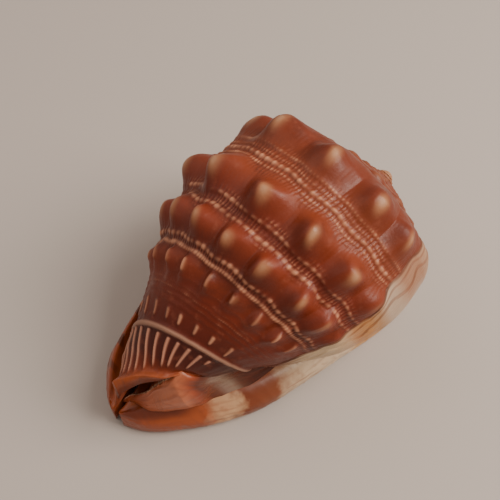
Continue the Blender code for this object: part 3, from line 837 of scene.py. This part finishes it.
# Porcelain-like callus of the shield and lip: smooth and glossy, orange to cream, with dark
# brown between the teeth and in patches along the lip, and a painted shadow of the lobe on the
# blade at the canal.
shieldColours = {
    "round": [  # round the edge from the shield's canal tip (0) to the lip's (1)
        (0.0, "#8e3f20"), (0.118, "#984823"), (0.135, "#bd8c68"), (0.158, "#c29670"),
        (0.172, "#76371c"), (0.205, "#7e4226"), (0.225, "#c2a688"), (0.268, "#d0b698"),
        (0.288, "#c79662"), (0.335, "#c2854a"), (0.365, "#c4aa8c"), (0.50, "#cdb8a0"),
        (0.58, "#b57449"), (0.70, "#96451e"), (1.0, "#8f3f1c"),
    ],
    "underside": "#c06c3c",
    "tooth": "#dcc0a0",
    "gap": "#4a1a0e",
    "blotch": "#34100a",
    "layer": "#7c3a20",
    "inside": "#8e4424",
    "cloudScale": 70.0,  # clouds of about 14 mm
    "patchScale": 300.0,  # patches of about 3 mm
    "cloudShift": 0.08,  # share of the edge that the clouds move the bands along
    "marks": ("round", "tooth", "toothed", "fromEdge", "inside", "layers", "blotch", "bladeShadow"),
}


def makeShieldMaterial():
    material, tree, shader = startMaterial("porcelainCallus", {
        "IOR": 1.5, "Specular IOR Level": 0.4, "Coat Weight": 0.05, "Coat Roughness": 0.2,
    })
    source = {
        name: addNode(tree, "ShaderNodeAttribute", {"attribute_name": name}).outputs["Fac"]
        for name in shieldColours["marks"]
    }
    place = {"Vector": addNode(tree, "ShaderNodeTexCoord").outputs["Object"]}
    cloud = addNode(tree, "ShaderNodeTexNoise", {
        "Scale": shieldColours["cloudScale"], "Detail": 4.0, "Roughness": 0.55,
    }, place)
    patch = addNode(tree, "ShaderNodeTexNoise", {
        "Scale": shieldColours["patchScale"], "Detail": 3.0,
    }, place)
    source["cloud"], source["patch"] = cloud.outputs["Fac"], patch.outputs["Fac"]
    streaked = addNode(tree, "ShaderNodeMath", {
        "operation": "MULTIPLY_ADD", 1: shieldColours["cloudShift"],
    }, {0: source["cloud"], 2: source["round"]})
    moved = addNode(tree, "ShaderNodeMath", {
        "operation": "SUBTRACT", 1: shieldColours["cloudShift"] / 2,
    }, {0: streaked.outputs[0]})
    around = addNode(tree, "ShaderNodeValToRGB", {}, {"Fac": moved.outputs[0]},
                     shieldColours["round"])
    between = addNode(tree, "ShaderNodeMath", {"operation": "SUBTRACT", 0: 1.0}, {
        1: source["tooth"],
    })
    for name, factor in (("crown", source["tooth"]), ("gap", between.outputs[0])):
        source[name] = addNode(tree, "ShaderNodeMath", {"operation": "MULTIPLY"}, {
            0: source["toothed"], 1: factor,
        }).outputs[0]
    colour = layColours(tree, around.outputs[0], source, [
        ("patch", 0.5, 0.75, 0.3, shieldColours["layer"]),
        ("layers", 0.2, 1.0, 0.45, shieldColours["layer"]),
        ("blotch", 0.0, 1.0, 0.75, shieldColours["blotch"]),
        # painted shadow of the lobe on the blade, in the dark brown of the gaps between teeth
        ("bladeShadow", 0.1, 1.0, 0.7, shieldColours["gap"]),
        ("fromEdge", 6.0, 15.0, 0.8, shieldColours["underside"]),
        ("gap", 0.45, 0.85, 1.0, shieldColours["gap"]),
        ("crown", 0.3, 0.8, 1.0, shieldColours["tooth"]),
        ("inside", 0.0, 1.0, 1.0, shieldColours["inside"]),
    ])
    tree.links.new(colour, shader.inputs["Base Color"])
    rough = addNode(tree, "ShaderNodeMapRange", {
        "From Min": 0.3, "From Max": 0.8, "To Min": 0.28, "To Max": 0.48,
    }, {"Value": source["patch"]})
    tree.links.new(rough.outputs[0], shader.inputs["Roughness"])
    bump = addNode(tree, "ShaderNodeBump", {
        "Strength": 0.2, "Distance": 0.0003,
    }, {"Height": source["patch"]})
    tree.links.new(bump.outputs[0], shader.inputs["Normal"])
    return material


# Fold at the canal: the same porcelain, orange-brown with a painted highlight along its frayed
# edge, lighter up to the lobe's middle, partly as painted light where the neck's shadow falls,
# painted shade where it turns behind the lobe, and greyish white where the shield's wall begins
foldColours = {
    "along": [
        # orange-brown, lighter up to the lobe's middle, partly painted light where the neck's
        # shadow falls
        (0.0, "#9c4a2a"), (0.2, "#a85432"), (0.35, "#b46442"), (0.48, "#b06444"),
        # from 0.56: painted shade where the fold turns behind the lobe and runs on into the
        # hollow, greyish white between, where the shield's wall begins
        (0.56, "#904024"), (0.62, "#5c2412"), (0.67, "#6a3a28"), (0.71, "#886c5e"),
        (0.75, "#8e7462"), (0.79, "#643a2a"), (0.83, "#481c0e"), (1.0, "#481c0e"),
    ],
    "streak": "#7c3416",
    # painted highlight along the frayed edge
    "edge": "#e0b494",
    "cloudScale": 150.0,  # clouds of about 7 mm
}


def makeFoldMaterial():
    material, tree, shader = startMaterial("orangeCallus", {
        "IOR": 1.5, "Specular IOR Level": 0.35, "Coat Weight": 0.05, "Coat Roughness": 0.2,
        "Roughness": 0.4,
    })
    source = {
        name: addNode(tree, "ShaderNodeAttribute", {"attribute_name": name}).outputs["Fac"]
        for name in ("length", "streak", "edge")
    }
    place = {"Vector": addNode(tree, "ShaderNodeTexCoord").outputs["Object"]}
    cloud = addNode(tree, "ShaderNodeTexNoise", {
        "Scale": foldColours["cloudScale"], "Detail": 4.0, "Distortion": 0.6,
    }, place)
    source["cloud"] = cloud.outputs["Fac"]
    along = addNode(tree, "ShaderNodeValToRGB", {}, {"Fac": source["length"]},
                    foldColours["along"])
    colour = layColours(tree, along.outputs[0], source, [
        ("streak", 0.1, 1.0, 0.4, foldColours["streak"]),
        ("cloud", 0.5, 0.75, 0.5, foldColours["streak"]),
        # painted highlight along the frayed edge
        ("edge", 0.1, 0.8, 0.9, foldColours["edge"]),
    ])
    tree.links.new(colour, shader.inputs["Base Color"])
    bump = addNode(tree, "ShaderNodeBump", {
        "Strength": 0.25, "Distance": 0.0003,
    }, {"Height": source["cloud"]})
    tree.links.new(bump.outputs[0], shader.inputs["Normal"])
    return material


# Inner whorl: smooth porcelain, orange-brown clouded with cream
innerColours = {
    "clouds": [(0.3, "#8c4624"), (0.5, "#a6643e"), (0.7, "#c08c64")],
    "cloudScale": 80.0,  # clouds of about 12 mm
}


def makeInnerMaterial():
    material, tree, shader = startMaterial("innerPorcelain", {
        "IOR": 1.5, "Coat Weight": 0.2, "Coat Roughness": 0.15, "Roughness": 0.32,
    })
    place = {"Vector": addNode(tree, "ShaderNodeTexCoord").outputs["Object"]}
    cloud = addNode(tree, "ShaderNodeTexNoise", {
        "Scale": innerColours["cloudScale"], "Detail": 4.0, "Distortion": 0.6,
    }, place)
    tint = addNode(tree, "ShaderNodeValToRGB", {}, {"Fac": cloud.outputs["Fac"]},
                   innerColours["clouds"])
    tree.links.new(tint.outputs[0], shader.inputs["Base Color"])
    bump = addNode(tree, "ShaderNodeBump", {
        "Strength": 0.2, "Distance": 0.0003,
    }, {"Height": cloud.outputs["Fac"]})
    tree.links.new(bump.outputs[0], shader.inputs["Normal"])
    return material


whorlMaterial = makeWhorlMaterial()
for piece in (*whorlPieces, spirePiece):
    piece.data.materials.append(whorlMaterial)
basePiece.data.materials.append(makeShieldMaterial())
foldPiece.data.materials.append(makeFoldMaterial())
innerPiece.data.materials.append(makeInnerMaterial())
print("materials done")


# Floor, light and camera

studio = {
    "floorColour": "#b5aaa3",
    "floorSize": 3.0,
    "worldColour": "#fff3e6",
    "worldStrength": 0.42,
    "lights": [  # place from the shell, in metres, size, watts, colour
        ((0.42, 0.42, 0.72), 0.6, 11.5, "#fff6ea"),
        ((-0.5, -0.3, 0.7), 0.9, 2.2, "#fff4ea"),
    ],
    "aim": (0.0, 0.0, 0.035),
    "lensWidth": 36.0,  # mm, the camera's sensor
    "nearest": 0.01,
}
floorMesh = bpy.data.meshes.new("floor")
side = studio["floorSize"]
floorCorners = [(-side, -side, 0), (side, -side, 0), (side, side, 0), (-side, side, 0)]
floorMesh.from_pydata(floorCorners, [], [(0, 1, 2, 3)])
floor = bpy.data.objects.new("floor", floorMesh)
bpy.context.scene.collection.objects.link(floor)
# matt paint, which shows no reflections
floorMesh.materials.append(startMaterial("paleMattFloor", {
    "Roughness": 0.8, "Base Color": linearColour(studio["floorColour"]),
})[0])

world = bpy.data.worlds.new("softRoom")
world.use_nodes = True
background = world.node_tree.nodes["Background"]
background.inputs["Color"].default_value = linearColour(studio["worldColour"])
background.inputs["Strength"].default_value = studio["worldStrength"]
bpy.context.scene.world = world
for place, size, power, colour in studio["lights"]:
    light = bpy.data.lights.new("softLight", "AREA")
    light.size, light.energy, light.color = size, power, linearColour(colour)[:3]
    lamp = bpy.data.objects.new("softLight", light)
    lamp.location = place
    towards = Vector(studio["aim"]) - Vector(place)
    lamp.rotation_euler = towards.to_track_quat("-Z", "Y").to_euler()
    bpy.context.scene.collection.objects.link(lamp)

view = {  # degrees and metres, and mm for the lens
    "around": 48.8,
    "up": 59.23,
    "distance": 0.330,
    "aim": (-0.01878, 0.01884, 0.0170),
    "lens": 53.82,
}
around, up = np.radians(view["around"]), np.radians(view["up"])
back = Vector((np.sin(around) * np.cos(up), -np.cos(around) * np.cos(up), np.sin(up)))
cameraData = bpy.data.cameras.new("camera")
cameraData.lens, cameraData.sensor_width = view["lens"], studio["lensWidth"]
cameraData.clip_start = studio["nearest"]
camera = bpy.data.objects.new("camera", cameraData)
camera.location = Vector(view["aim"]) + back * view["distance"]
camera.rotation_euler = back.to_track_quat("Z", "Y").to_euler()
bpy.context.scene.collection.objects.link(camera)
bpy.context.scene.camera = camera
print("floor, light and camera done")
